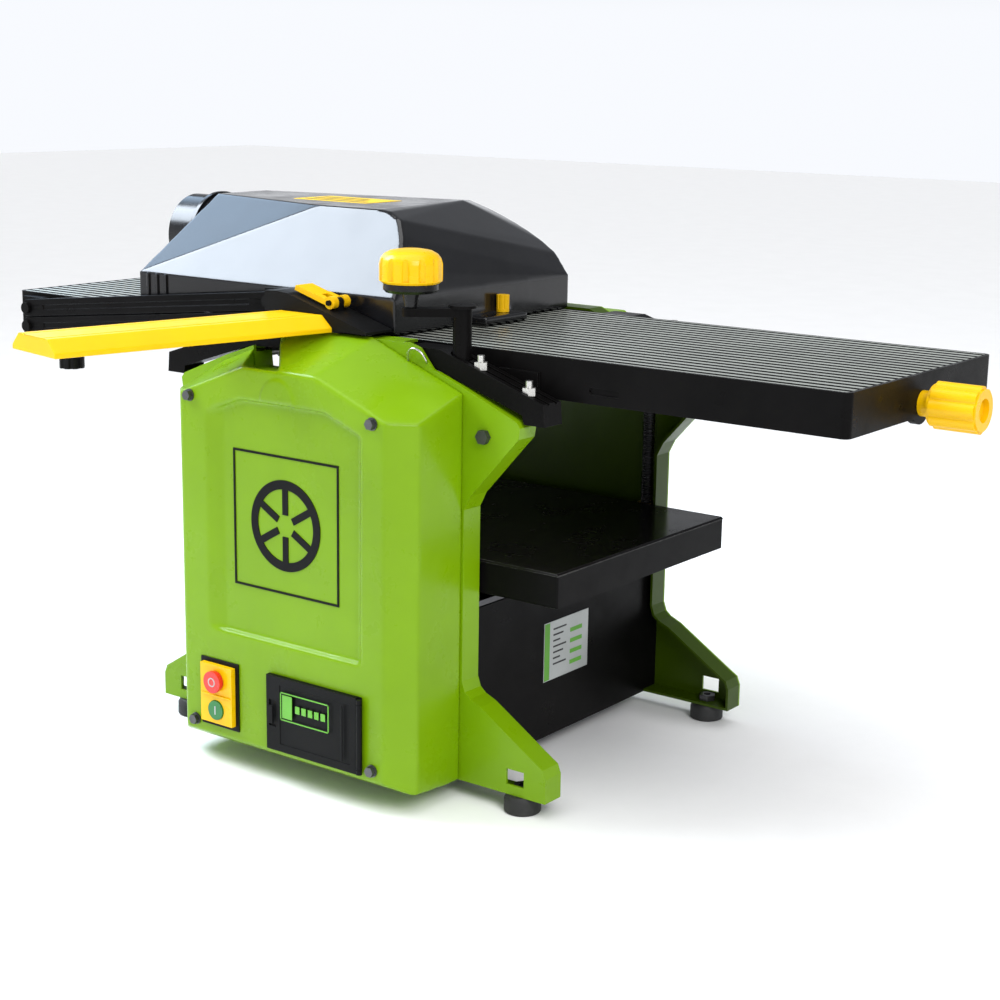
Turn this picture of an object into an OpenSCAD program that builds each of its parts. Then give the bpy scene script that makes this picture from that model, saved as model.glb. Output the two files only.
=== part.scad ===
// Thickness planer with surfacing tables, standing on four rubber feet.
// Frame: +X along the tables towards the infeed end, -Y towards the operator, +Z up.
// The origin is on the ground, in the middle of the four feet.

/* [Casing] */
// Distance from the middle to the outer face of each side panel
panel_y = 204.6; // [200:0.1:210]
// Width of the folded edge of the side panels
flange_w = 28.6; // [24:0.1:30]
// Sheet thickness of the side panels
sheet = 3; // [2:0.5:4]
// Height of the panels' lower edge above the ground
panel_z = 20; // [18:1:24]
// Half width of the panels at the waist
waist_x = 174; // [172:1:178]
// Half width of the panels at the feet
foot_reach = 286; // [276:1:296]
// Feet, distance from the middle along X
foot_x = 248; // [240:1:256]
// Feet, distance from the middle along Y
foot_y = 192; // [188:1:192]
// Radius of a rubber foot
foot_r = 20; // [16:1:24]
// Radius of the hole through each foot for a bench bolt
bench_hole_r = 4.25; // [3.3:0.05:5.3]

/* [Belt cover] */
// Front face of the belt cover, distance from the middle
cover_y = 302; // [296:1:310]
// Wall thickness of the belt cover
cover_wall = 3; // [2:0.5:4]
// Half width of the cover's front face
cover_front_x = 146; // [140:1:152]

/* [Tables] */
// Height of the surfacing tables
table_z = 488; // [486:0.5:490]
// Width of the surfacing tables
table_w = 330; // [322:1:332]
// End of the infeed table
infeed_end = 590; // [540:1:620]
// End of the outfeed table
outfeed_end = 580; // [540:1:610]
// Height of the black table frames
skirt_h = 44; // [40:1:46]
// Number of grooves in each table top
groove_count = 20; // [10:1:24]

/* [Cutter block] */
// Height of the cutter block's axis
cutter_z = 460; // [459:0.5:460]
// Cutting radius
cut_r = 28; // [26:0.5:28]

/* [Thicknessing table] */
// Height of the thicknessing table's top at rest
bed_z = 261; // [240:1:300]
// Half length of the thicknessing table
bed_x = 272; // [240:1:290]
// Half width of the thicknessing table
bed_y = 170; // [160:1:171]
// Depth of the thicknessing table's rim
bed_h = 38; // [34:1:40]
// Lift spindles, distance from the middle along X
spindle_x = 155; // [150:1:156]
// Lift spindles, distance from the middle along Y
spindle_y = 186; // [185:0.5:187]
// Radius of a lift spindle
spindle_r = 7; // [6:0.5:7]

/* [Hood] */
// Top of the dust hood
hood_z = 618; // [600:1:630]
// Wall thickness of the hood
hood_wall = 3; // [2.5:0.5:4]
// Outer radius of the dust port
port_r = 50; // [45:1:52]
// Length of the dust port outside the hood
port_len = 64; // [40:1:80]

/* [Guard] */
// Width of the guard bar
bar_w = 88; // [80:1:88]
// Length of the guard bar
bar_len = 352; // [300:1:352]
// Turn of the guard bar from straight across the tables
bar_turn = 12; // [10:0.5:13]
// Slope of the raised guard arm
arm_slope = 6; // [5:0.1:7]

/* [Hidden] */
$fn = 40;
running = 0.05;       // radial clearance of a shaft in its bore
gap = 0.3;            // gap between parts that move past each other
panel_in = panel_y - sheet;
half_w = table_w / 2;
skirt_z = table_z - skirt_h;
plate_t = 8;          // thickness of the ribbed table tops
lip_x = 24;           // inner ends of the tables
skirt_x = 160;        // inner ends of the deep table frames
border = 4;           // width of the frame's edge beside the table tops
way_angle = 17.8;     // slope of the inclined ways
way_y = 169;          // inner face of the ways
way_w = 31;
way_top = table_z - 1;
way_t = 22;
way_bend = 135;
way_end = 270;
right_studs = [183, 245];
left_studs = [-195, -245];
stud_y = 190;
stud_r = 4;
stud_depth = 12;
screw_y = -5;         // axis of the depth screw
screw_z = 458;
screw_r = 6;
beam_x = 132;         // cross beam that holds the depth nut
beam_t = 12;
cover_tilt = 17.9;    // backward rise of the belt cover's top
cover_top = 461;
cover_x = 172;
shaft_r = 12;         // ends of the cutter block
drive_y = -216;       // middle of the drive belt
belt_w = 11;
belt_t = 3.5;
cutter_pulley_r = 17;
motor_pulley_r = 26;
motor_x = 20;
motor_z = 110;
motor_r = 57;
motor_shaft_r = 9;
roller_x = 72;
roller_r = 18;
roller_z = cutter_z - cut_r - 0.5 + roller_r;
roller_shaft_r = 8;
pinion_r = 12;
wheel_r = 48;
wheel_z = cutter_z - pinion_r - wheel_r;
pin_r = 6;
gear_y = 207;         // inner face of the feed gears
gear_w = 9;
chain_y = 221;        // inner face of the feed chain
chain_w = 7;
wheel_sprocket_r = 12;
roller_sprocket_r = 24;
chain_t = 3.2;
lift_sprocket_r = 10.5;
lift_chain_z = 207;   // underside of the lift chain
lift_chain_h = 6;
spindle_low = 186;
spindle_top = 445;
nut_r = 11;
crank_turn = 223;     // direction of the crank arm
crank_r = 54;
crank_z = 521;
finger_x = -138;
finger_z = 454;
rod_r = 5;
hood_low = table_z + 0.5;
hood_right = 50;
hood_left = -350;
hood_y = 170;
hood_strip = 530;     // top of the hood's upright front strip
port_y = -27;
port_z = 564;
latch_x = 54;
latch_y = 20;
arm_x = -538;         // pivots of the guard arm at the outfeed table
arm_z = 448.4;
arm_y = -188;         // front face of the guard arm
link_t = 8;
link_w = 21.2;
pivot_span = 419.5;
pivot_gap = 22.6;
pivot_r = 4;
head_x = arm_x + pivot_span * cos(arm_slope);
head_z = arm_z + pivot_span * sin(arm_slope);
head_back = -172;     // rear face of the guard head
head_front = -215;
bar_x = -41;
bar_y = -190;
bar_z = 493;          // underside of the guard bar
bar_h = 18;
bar_back = 6;
lever_x = -14;        // pivot of the clamp lever
lever_z = 523.1;
lever_slope = 16.3;
boss_x = -460;        // height knob of the guard arm
boss_y = -185;
door_left = -16;
door_right = 117;
door_low = 42.5;
door_high = 127.6;
hinge_x = door_right + 0.5;
hinge_y = -cover_y - 5.5;
switch_x = -91;
stop_z = 104;
start_z = 70;
button_r = 11;

green = [0.57, 0.74, 0.13];
black = [0.06, 0.06, 0.06];
yellow = [1, 0.86, 0];
steel = [0.7, 0.7, 0.68];
red = [0.8, 0.1, 0.08];

// A box from one corner to the opposite one
module block(low, high) {
    translate(low) cube(high - low);
}

// A cylinder along Y from one height to another
module rod_y(x, z, radius, from, to) {
    translate([x, from, z]) rotate([-90, 0, 0]) cylinder(r = radius, h = to - from);
}

// A cylinder along X
module rod_x(y, z, radius, from, to) {
    translate([from, y, z]) rotate([0, 90, 0]) cylinder(r = radius, h = to - from);
}

// A cylinder along Z
module rod_z(x, y, radius, from, to) {
    translate([x, y, from]) cylinder(r = radius, h = to - from);
}

// Places an outline drawn in X and Z between two Y values
module prism_y(from, to) {
    translate([0, to, 0]) rotate([90, 0, 0]) linear_extrude(to - from) children();
}

// Places an outline drawn in Y and Z between two X values
module prism_x(from, to) {
    translate([from, 0, 0]) rotate([90, 0, 90]) linear_extrude(to - from) children();
}

function flip(points) = [for (i = [len(points) - 1:-1:0]) [-points[i][0], points[i][1]]];

// Right edge of a side panel from the ground to the nose beside the tables
function panel_edge() = [
    [foot_reach, panel_z], [foot_reach, 47], [foot_reach - 4, 57], [foot_reach - 14, 63],
    [199, 109], [185, 115], [waist_x + 4, 121], [waist_x, 132], [waist_x, 321],
    [182, 337], [243, 405], [245, 417], [240, 423]
];

// Top edge of the near side panel, with the dip behind the cover's handle slot
function near_crest() = [
    [171, 451], [131, 466], [113, 487], [98, 491], [30, 490], [-87, 472], [-90, 440],
    [-125, 440], [-128, 466], [-171, 451]
];

// Top edge of the rear side panel
function rear_crest() = [
    [171, 451], [131, 466], [81, 485], [69, 490], [-69, 490], [-81, 485], [-131, 466],
    [-171, 451]
];

module panel_shape(crest) {
    polygon(concat(panel_edge(), crest, flip(panel_edge())));
}

// Folded sheet with a web and a flange all round; the web's outer face is at Y = 0
module pressed_panel(crest) {
    hole = 17.5;
    difference() {
        prism_y(0, flange_w) panel_shape(crest);
        prism_y(sheet, flange_w + 1) offset(delta = -sheet) panel_shape(crest);
        for (side = [-1, 1]) {
            // room for the ways above the sloping edges
            translate([side * 112, 0, 0]) block([-25, sheet + 0.5, 458], [25, flange_w + 1, 500]);
            // square lifting holes above the feet
            translate([side * 246.5, 0, 0])
                block([-11.5, -1, 31], [11.5, sheet + 1, 31 + hole]);
            rod_z(side * foot_x, panel_y - foot_y, 8, panel_z - 1, panel_z + sheet + 1);
        }
    }
}

module near_panel() {
    color(green) difference() {
        translate([0, -panel_y, 0]) pressed_panel(near_crest());
        rod_y(0, cutter_z, 22, -panel_y - 1, -panel_in + 1);
        rod_y(motor_x, motor_z, 34, -panel_y - 1, -panel_in + 1);
        rod_z(spindle_x, -spindle_y, 12.5, 430, 480);
    }
}

module rear_panel() {
    color(green) {
        difference() {
            mirror([0, 1, 0]) translate([0, -panel_y, 0]) pressed_panel(rear_crest());
            rod_y(0, cutter_z, 22, panel_in - 1, panel_y + 1);
            for (side = [-1, 1])
                rod_y(side * roller_x, roller_z, 12, panel_in - 1, panel_y + 1);
        }
        // stub axle of the feed gear wheel
        rod_y(0, wheel_z, pin_r, panel_in + 1, chain_y + chain_w + 3);
        rod_y(0, wheel_z, 10, panel_in + 1, gear_y - gap);
    }
}

module cross_panels() {
    outer = 166;
    high = 204;
    color(black) for (side = [-1, 1]) mirror([side < 0 ? 1 : 0, 0, 0]) {
        difference() {
            block([outer - sheet, -panel_in, panel_z + sheet], [outer, panel_in, high]);
            // notches round the lift spindles and their lower brackets
            for (end = [-1, 1]) translate([0, end * spindle_y, 0])
                block([outer - sheet - 1, -16, 186], [outer + 1, 16, high + 1]);
        }
        block([outer - 14, -160, high - sheet], [outer - sheet, 160, high]);
    }
    // cable gland in the left panel
    color(black) difference() {
        union() {
            rod_x(120, 60, 11, -outer - 5, -outer);
            rod_x(120, 60, 8, -outer - 18, -outer - 4);
        }
        rod_x(120, 60, 4, -outer - 19, -outer + 1);
    }
}

module base_plate() {
    color(black) difference() {
        block([-166, flange_w - panel_y, panel_z], [166, panel_y - flange_w, panel_z + sheet]);
        for (side = [-1, 1])
            block([side * 110 - 8, -120, panel_z - 1], [side * 110 + 8, 120, panel_z + sheet + 1]);
    }
}

module feet() {
    color(black) for (x = [-foot_x, foot_x], y = [-foot_y, foot_y]) translate([x, y, 0])
        rotate_extrude() polygon([
            [8, 0], [foot_r - 1.5, 0], [foot_r, 1.5], [foot_r, 15], [foot_r - 2, panel_z - 1],
            [foot_r - 3, panel_z], [8, panel_z]
        ]);
}

module foot_sleeves() {
    color(steel) for (x = [-foot_x, foot_x], y = [-foot_y, foot_y]) translate([x, y, 0])
        difference() {
            union() {
                translate([0, 0, 2]) cylinder(r = 7.9, h = panel_z + sheet - 2);
                translate([0, 0, panel_z + sheet]) cylinder(r = 10.8, h = 7, $fn = 6);
            }
            translate([0, 0, 1]) cylinder(r = bench_hole_r, h = 40);
        }
}

// Belt cover body shrunk by a wall on the outside faces
module cover_body(wall, back) {
    front = -cover_y + wall;
    side = cover_x - wall;
    near = cover_front_x - wall * 0.6;
    low = panel_z + wall;
    intersection() {
        translate([0, 0, 10]) linear_extrude(500) polygon([
            [-near, front], [near, front], [side, front + 25], [side, back],
            [-side, back], [-side, front + 25]
        ]);
        prism_x(-200, 200) polygon([
            [front, low + 17], [front + 22, low + 4], [-panel_y - 20, low], [back, low],
            [back, 530], [front, 530]
        ]);
        translate([0, -cover_y, cover_top - wall]) rotate([cover_tilt, 0, 0])
            prism_y(-220, 420) polygon([
                [-175, -46], [-50, 0], [50, 0], [175, -46], [175, -450], [-175, -450]
            ]);
    }
}

// Slanting handle slot across the cover's top, grown by a margin
module handle_slot(margin) {
    back = -panel_y;
    fall = 21;
    intersection() {
        translate([0, 0, 400]) linear_extrude(130) polygon([
            [-52 - margin + 0.8, -cover_y - 1], [3 + margin, -cover_y - 1],
            [-87 + margin, back + 1], [-128 - margin, back + 1]
        ]);
        prism_x(-200, 60) polygon([
            [-cover_y - 1, cover_top + 0.3 - margin], [back + 1, cover_top - fall - margin],
            [back + 1, 530], [-cover_y - 1, 530]
        ]);
    }
}

// Sunk field on the cover's front, grown by a margin
module front_field(margin, depth) {
    low = 163;
    high = 425;
    intersection() {
        prism_y(-cover_y - 1, -cover_y + depth) polygon([
            [-109 - margin, low - margin], [115 + margin, low - margin],
            [115 + margin, 405], [62, high + margin], [30, high + margin], [27, 425],
            [-27, 425], [-30, high + margin], [-56, high + margin], [-109 - margin, 405]
        ]);
        translate([0, 0, 100]) linear_extrude(360) polygon([
            [-111 - margin, -cover_y - 1], [-86 - margin, -cover_y + depth],
            [110 + margin, -cover_y + depth], [116 + margin, -cover_y - 1]
        ]);
    }
}

module belt_cover() {
    color(green) difference() {
        union() {
            difference() {
                cover_body(0, -panel_y);
                difference() {
                    cover_body(cover_wall, -panel_y + 1);
                    handle_slot(cover_wall);
                    front_field(cover_wall, 6 + cover_wall);
                }
                handle_slot(0);
                front_field(0, 6);
            }
            // screw bosses behind the front
            for (x = [-131, 131], z = [49.4, 421.5])
                rod_y(x, z, 7, -cover_y + 2, -cover_y + 24);
            // half-round stop above the sunk field
            intersection() {
                rod_y(0, 428, 23.5, -cover_y - 2, -cover_y + 2);
                block([-30, -cover_y - 3, 428], [30, -cover_y + 3, 460]);
            }
        }
        for (x = [-131, 131], z = [49.4, 421.5])
            rod_y(x, z, 3.4, -cover_y - 1, -cover_y + 25);
        block([door_left + 4, -cover_y - 1, door_low + 4],
            [door_right - 4, -cover_y + cover_wall + 1, door_high - 4]);
        block([switch_x - 22, -cover_y - 1, 56], [switch_x + 22, -cover_y + cover_wall + 1, 120]);
    }
}

module bolts() {
    color(black) {
        for (x = [-131, 131], z = [49.4, 421.5]) {
            rod_y(x, z, 3.3, -cover_y, -cover_y + 22);
            rod_y(x, z, 6.8, -cover_y - 1.5, -cover_y);
            translate([x, -cover_y - 6.5, z]) rotate([-90, 0, 0])
                cylinder(r = 5.8, h = 5.5, $fn = 6);
        }
        for (x = [-200, 200], side = [-1, 1])
            translate([x, side * (panel_y + 3.2), 403]) rotate([90, 0, 0])
                cylinder(r = 8, h = 6.4, center = true, $fn = 6);
    }
}

module emblem() {
    half = 76;
    mid_z = 294;
    face = -cover_y + 6;
    color(black) translate([4.5, face, mid_z]) {
        difference() {
            block([-half, -1, -half], [half, 0, half]);
            block([-half + 2.5, -2, -half + 2.5], [half - 2.5, 1, half - 2.5]);
        }
        difference() {
            rod_y(0, 0, 50, -1, 0);
            rod_y(0, 0, 40, -2, 1);
        }
        for (turn = [0:60:300]) rotate([0, turn, 0])
            block([-4, -1, 12], [4, 0, 44]);
    }
}

module switch_plate() {
    color(black) difference() {
        block([switch_x - 29, -cover_y - 2, 48], [switch_x + 29, -cover_y, 127]);
        block([switch_x - 21, -cover_y - 3, 57], [switch_x + 21, -cover_y + 1, 119]);
    }
}

module switch_housing() {
    color(yellow) difference() {
        union() {
            block([switch_x - 21, -cover_y - 8, 57], [switch_x + 21, -cover_y + 45, 119]);
            block([switch_x - 24, -cover_y - 8, 54], [switch_x + 24, -cover_y - 2, 122]);
        }
        block([switch_x - 19, -cover_y - 3, 59], [switch_x + 19, -cover_y + 43, 117]);
        for (z = [start_z, stop_z])
            rod_y(switch_x, z, button_r + 0.4, -cover_y - 9, -cover_y);
    }
}

module push_button(z, proud) {
    rod_y(switch_x, z, button_r, -cover_y - 8 - proud, -cover_y + 4);
    rod_y(switch_x, z, 4, -cover_y + 3, -cover_y + 14);
}

module stop_button() {
    color(red) {
        push_button(stop_z, 3);
        rod_y(switch_x, stop_z, button_r + 1.5, -cover_y - 15, -cover_y - 11);
    }
}

module start_button() {
    color([0.1, 0.5, 0.15]) push_button(start_z, 2);
}

module storage_box() {
    color(black) {
        difference() {
            union() {
                block([door_left, -cover_y - 2, door_low], [door_right, -cover_y, door_high]);
                block([door_left + 4.5, -cover_y - 1, door_low + 4.5],
                    [door_right - 4.5, -cover_y + 56, door_high - 4.5]);
            }
            block([door_left + 7, -cover_y - 3, door_low + 7],
                [door_right - 7, -cover_y + 54, door_high - 7]);
        }
        for (z = [door_low + 1, door_high - 6]) {
            rod_z(hinge_x, hinge_y, 3.2, z, z + 5);
            block([hinge_x - 3.2, hinge_y, z], [hinge_x, -cover_y - 1, z + 5]);
        }
        rod_z(hinge_x, hinge_y, 1.5, door_low + 2, door_high - 2);
    }
}

module storage_door() {
    low = door_low + 6.5;
    high = door_high - 6.5;
    color(black) difference() {
        union() {
            block([door_left, -cover_y - 6, door_low], [hinge_x - 4, -cover_y - 2.4, door_high]);
            block([hinge_x - 5, -cover_y - 5.6, low], [hinge_x, -cover_y - 2.8, high]);
            rod_z(hinge_x, hinge_y, 3.2, low, high);
        }
        rod_z(hinge_x, hinge_y, 1.5 + running, low - 1, high + 1);
        // finger pull and sunk label field
        block([door_left + 4, -cover_y - 7, 70], [door_left + 14, -cover_y - 4, 100]);
        block([door_left + 20, -cover_y - 7, door_low + 9],
            [door_right - 12, -cover_y - 5.2, door_high - 9]);
    }
}

// One inclined way in the +X direction
module way_bar() {
    fall = tan(way_angle);
    low_end = way_top - (way_end - way_bend) * fall;
    difference() {
        prism_y(way_y, way_y + way_w) polygon([
            [92, way_top - way_t], [92, way_top], [way_bend, way_top], [way_end, low_end],
            [way_end + 2, low_end - 23], [way_end - 24, low_end - 23],
            [way_end - 26, low_end + 26 * fall - way_t], [way_bend, way_top - way_t]
        ]);
        translate([way_bend, 0, way_top]) rotate([0, way_angle, 0])
            for (y = [way_y + 7, way_y + 20]) block([12, y, -2], [148, y + 4, 2]);
    }
}

// Height of a way's sloping top at a distance from the middle
function way_height(x) = way_top - (abs(x) - way_bend) * tan(way_angle);

// Holes and spot faces for the studs
module stud_holes(places) {
    for (x = places, side = [-1, 1]) {
        rod_z(x, side * stud_y, stud_r, way_height(x) - stud_depth, way_height(x) + 9);
        rod_z(x, side * stud_y, 8.5, way_height(x) - 2, way_height(x) + 9);
    }
}

module right_ways() {
    color(black) difference() {
        for (side = [0, 1]) mirror([0, side, 0]) way_bar();
        rod_z(spindle_x, -spindle_y, 12, 430, 500);
        stud_holes(right_studs);
    }
}

module left_ways() {
    color(black) difference() {
        for (side = [0, 1]) mirror([0, side, 0]) mirror([1, 0, 0]) way_bar();
        stud_holes(left_studs);
        // room under the guard's lower link
        translate([arm_x, 0, arm_z]) rotate([0, -arm_slope, 0])
            block([pivot_span - 60, -way_y - way_w - 1, -link_w / 2 - 3],
                [pivot_span + 60, -way_y + 1, 60]);
    }
}

module way_studs() {
    color(steel) for (x = concat(right_studs, left_studs), side = [-1, 1]) {
        // the left studs stay below the guard's links
        tall = x > 0 ? 13 : 5;
        rod_z(x, side * stud_y, stud_r, way_height(x) - stud_depth, way_height(x) + tall);
        translate([x, side * stud_y, way_height(x) - 2])
            cylinder(r = 7.5, h = tall * 0.5 + 1.5, $fn = 6);
    }
}

// Rounded plan outline of a table towards +X
module table_shape(from, to, half, radius) {
    translate([from, -half]) square([to - from - radius, 2 * half]);
    translate([from, -half + radius]) square([to - from, 2 * half - 2 * radius]);
    for (side = [-1, 1]) translate([to - radius, side * (half - radius)]) circle(radius);
}

// Black frame of a table that runs from the middle towards +X
module table_frame(to) {
    difference() {
        union() {
            translate([0, 0, skirt_z]) linear_extrude(skirt_h)
                table_shape(skirt_x, to, half_w, 8);
            translate([0, 0, table_z - plate_t - 2]) linear_extrude(plate_t + 2)
                table_shape(lip_x, to, half_w, 8);
        }
        translate([0, 0, table_z - plate_t]) linear_extrude(plate_t + 1)
            table_shape(lip_x - 1, to - border, half_w - border, 5);
        translate([0, 0, skirt_z - 1]) linear_extrude(skirt_h)
            table_shape(skirt_x + 8, to - 8, half_w - 8, 3);
        translate([0, 0, table_z - plate_t - 3]) linear_extrude(5)
            table_shape(lip_x + 10, skirt_x, half_w - 12, 3);
    }
    for (x = [skirt_x + 110, skirt_x + 220, skirt_x + 330])
        block([x, -half_w + 7, skirt_z + 10], [x + 6, screw_y - 14, table_z - plate_t]);
    for (x = [skirt_x + 110, skirt_x + 220, skirt_x + 330])
        block([x, screw_y + 14, skirt_z + 10], [x + 6, half_w - 7, table_z - plate_t]);
}

module infeed_frame() {
    color(black) difference() {
        union() {
            table_frame(infeed_end);
            rod_x(screw_y, screw_z, 21.5, infeed_end - 8, infeed_end);
            // pads that guide the table between the ways
            for (side = [-1, 1]) block([190, side * 166.6 - 2, 446], [240, side * 166.6 + 2, 470]);
        }
        rod_x(screw_y, screw_z, screw_r + running, infeed_end - 9, infeed_end + 1);
        rod_x(screw_y, screw_z, screw_r + 6, skirt_x - 1, skirt_x + 9);
        // oval recesses in the sides
        for (side = [-1, 1]) for (x = [305, 335]) rod_y(x, 457.5, 3.5,
            side * half_w - 2, side * half_w + 2);
        for (side = [-1, 1]) block([305, side * half_w - 2, 454], [335, side * half_w + 2, 461]);
    }
}

module outfeed_frame() {
    color(black) mirror([1, 0, 0]) {
        table_frame(outfeed_end);
        for (side = [-1, 1]) block([190, side * 166.5 - 2.5, 446], [240, side * 166.5 + 2.5, 470]);
    }
}

// Grooved table top
module table_top(to) {
    half = half_w - border - 0.2;
    pitch = 2 * half / groove_count;
    difference() {
        translate([0, 0, table_z - plate_t]) linear_extrude(plate_t)
            table_shape(lip_x, to - border - 0.2, half, 4.8);
        for (i = [0:groove_count - 1])
            translate([lip_x + 14, -half + (i + 0.5) * pitch - 3, table_z - 3])
                cube([to - lip_x - 14, 6, 4]);
        // bevelled cutting lip
        translate([lip_x, 0, table_z - plate_t]) rotate([0, 40, 0])
            block([-12, -half - 1, -20], [0, half + 1, 5.5]);
    }
}

module infeed_top() {
    color([0.82, 0.83, 0.78]) table_top(infeed_end);
}

module outfeed_top() {
    color([0.82, 0.83, 0.78]) mirror([1, 0, 0]) table_top(outfeed_end);
}

module cross_beam() {
    color(black) difference() {
        union() {
            block([beam_x, -panel_in, 440], [beam_x + beam_t, panel_in, 456]);
            block([beam_x, screw_y - 24, 438], [beam_x + beam_t, screw_y + 24, 474]);
        }
        block([beam_x - 1, screw_y - 10, 444], [beam_x + beam_t + 1, screw_y + 10, 470]);
    }
}

module depth_nut() {
    color([0.75, 0.6, 0.3]) difference() {
        union() {
            block([beam_x - 4, screw_y - 9.6, screw_z - 9],
                  [beam_x + beam_t + 4, screw_y + 9.6, screw_z + 9]);
            for (x = [beam_x - 4.4, beam_x + beam_t + 0.4])
                block([x, screw_y - 14, screw_z - 9], [x + 4, screw_y + 14, screw_z + 9]);
        }
        rod_x(screw_y, screw_z, screw_r + running, beam_x - 9, beam_x + beam_t + 9);
    }
}

module depth_screw() {
    color(steel) {
        rod_x(screw_y, screw_z, screw_r, 118, infeed_end + 20);
        rod_x(screw_y, screw_z, 10, infeed_end - 13, infeed_end - 8 - gap);
    }
}

module depth_knob() {
    body = infeed_end + 13;
    end = body + 52;
    color(yellow) difference() {
        union() {
            rod_x(screw_y, screw_z, 13, infeed_end + 0.5, body);
            rod_x(screw_y, screw_z, 21, body, end);
            for (turn = [0:45:315]) translate([0, screw_y, screw_z]) rotate([turn, 0, 0])
                rod_x(15.5, 0, 8.5, body + 3, end - 2);
        }
        rod_x(screw_y, screw_z, 12, end - 6, end + 1);
        rod_x(screw_y, screw_z, screw_r, infeed_end, infeed_end + 20);
    }
}

module cutter_block() {
    body = 158;
    color(steel) difference() {
        union() {
            rod_y(0, cutter_z, cut_r - 1, -body, body);
            rod_y(0, cutter_z, shaft_r, drive_y - 8, gear_y + gear_w + 1);
            rod_y(0, cutter_z, cutter_pulley_r, drive_y - 7.5, drive_y + 7);
            for (y = [drive_y - 7.5, drive_y + 6])
                rod_y(0, cutter_z, cutter_pulley_r + 2.5, y, y + 1.5);
            difference() {
                rod_y(0, cutter_z, pinion_r - 0.2, gear_y, gear_y + gear_w);
                for (turn = [0:45:315]) translate([0, 0, cutter_z]) rotate([0, turn + 22.5, 0])
                    block([-1.6, gear_y - 1, pinion_r - 1.8], [1.6, gear_y + gear_w + 1, pinion_r + 1]);
            }
        }
        for (turn = [0, 180]) translate([0, 0, cutter_z]) rotate([0, turn, 0])
            block([-9, -body - 1, cut_r - 9], [2, body + 1, cut_r + 1]);
    }
    color([0.85, 0.85, 0.87]) for (turn = [0, 180]) translate([0, 0, cutter_z])
        rotate([0, turn, 0]) {
            block([-1, -body, cut_r - 12], [2, body, cut_r - 0.1]);
            block([-9, -body, cut_r - 10], [-1, body, cut_r - 3]);
        }
}

module bearing_housings() {
    color(steel) for (side = [-1, 1]) difference() {
        union() {
            block([-32, side * 187 - 14, 434], [32, side * 187 + 14, 460]);
            rod_y(0, cutter_z, 21, side * 187 - 14, side * 187 + 14);
        }
        rod_y(0, cutter_z, shaft_r + running, side * 187 - 15, side * 187 + 15);
    }
}

// Loop round circles given by centre and radius, drawn in two dimensions
module loop(places, thickness) {
    difference() {
        hull() for (p = places) translate([p[0], p[1]]) circle(p[2] + gap + thickness);
        hull() for (p = places) translate([p[0], p[1]]) circle(p[2] + gap);
    }
}

module drive_belt() {
    color(black) prism_y(drive_y - belt_w / 2, drive_y + belt_w / 2) loop([
        [0, cutter_z, cutter_pulley_r], [motor_x, motor_z, motor_pulley_r]
    ], belt_t);
}

module motor() {
    color([0.35, 0.36, 0.38]) difference() {
        union() {
            rod_y(motor_x, motor_z, motor_r, -182, 42);
            rod_y(motor_x, motor_z, 40, 40, 62);
            rod_y(motor_x, motor_z, 32, -192, -181);
            for (turn = [0:30:330]) translate([motor_x, 0, motor_z]) rotate([0, turn, 0])
                block([-1.5, -170, motor_r - 3], [1.5, 30, motor_r + 5]);
            block([motor_x - 45, -150, panel_z + sheet], [motor_x + 45, -130, motor_z - 30]);
            block([motor_x - 45, -10, panel_z + sheet], [motor_x + 45, 10, motor_z - 30]);
        }
        rod_y(motor_x, motor_z, motor_shaft_r + running, -193, -150);
    }
}

module motor_rotor() {
    color(steel) {
        rod_y(motor_x, motor_z, motor_shaft_r, drive_y - 8, -152);
        rod_y(motor_x, motor_z, motor_pulley_r, drive_y - 7, drive_y + 7);
        for (y = [drive_y - 7.5, drive_y + 6])
            rod_y(motor_x, motor_z, motor_pulley_r + 2.5, y, y + 1.5);
    }
}

module feed_roller(x, flutes) {
    body = 158;
    end = chain_y + chain_w;
    difference() {
        union() {
            rod_y(x, roller_z, roller_r, -body, body);
            rod_y(x, roller_z, roller_shaft_r, -198, end);
            rod_y(x, roller_z, roller_sprocket_r, chain_y, end);
        }
        if (flutes) for (turn = [0:30:330]) translate([x, 0, roller_z]) rotate([0, turn, 0])
            block([-1.2, -body - 1, roller_r - 1.2], [1.2, body + 1, roller_r + 1]);
        for (turn = [0:60:300]) translate([x, 0, roller_z]) rotate([0, turn, 0])
            rod_y(0, 16, 4, chain_y - 1, end + 1);
    }
}

module infeed_roller() {
    color(steel) feed_roller(-roller_x, true);
}

module outfeed_roller() {
    color(steel) feed_roller(roller_x, false);
}

module roller_blocks() {
    color([0.45, 0.46, 0.48]) for (x = [-roller_x, roller_x], side = [-1, 1]) {
        difference() {
            block([x - 12.5, side * 183 - 16, 438], [x + 12.5, side * 183 + 16, 462]);
            rod_y(x, roller_z, roller_shaft_r + running, side * 183 - 17, side * 183 + 17);
        }
        rod_z(x, side * 190, 6, 461, 470);
    }
}

module reduction_wheel() {
    end = chain_y + chain_w;
    color(steel) difference() {
        union() {
            rod_y(0, wheel_z, wheel_r - 0.2, gear_y, gear_y + gear_w);
            rod_y(0, wheel_z, wheel_sprocket_r, gear_y, end);
        }
        rod_y(0, wheel_z, pin_r + running, gear_y - 1, end + 1);
        for (turn = [0:11.25:350]) translate([0, 0, wheel_z]) rotate([0, turn, 0])
            block([-1.6, gear_y - 1, wheel_r - 1.8], [1.6, gear_y + gear_w + 1, wheel_r + 1]);
        for (turn = [0:60:300]) translate([0, 0, wheel_z]) rotate([0, turn, 0])
            rod_y(0, 30, 9, gear_y - 1, gear_y + gear_w + 1);
    }
}

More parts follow.
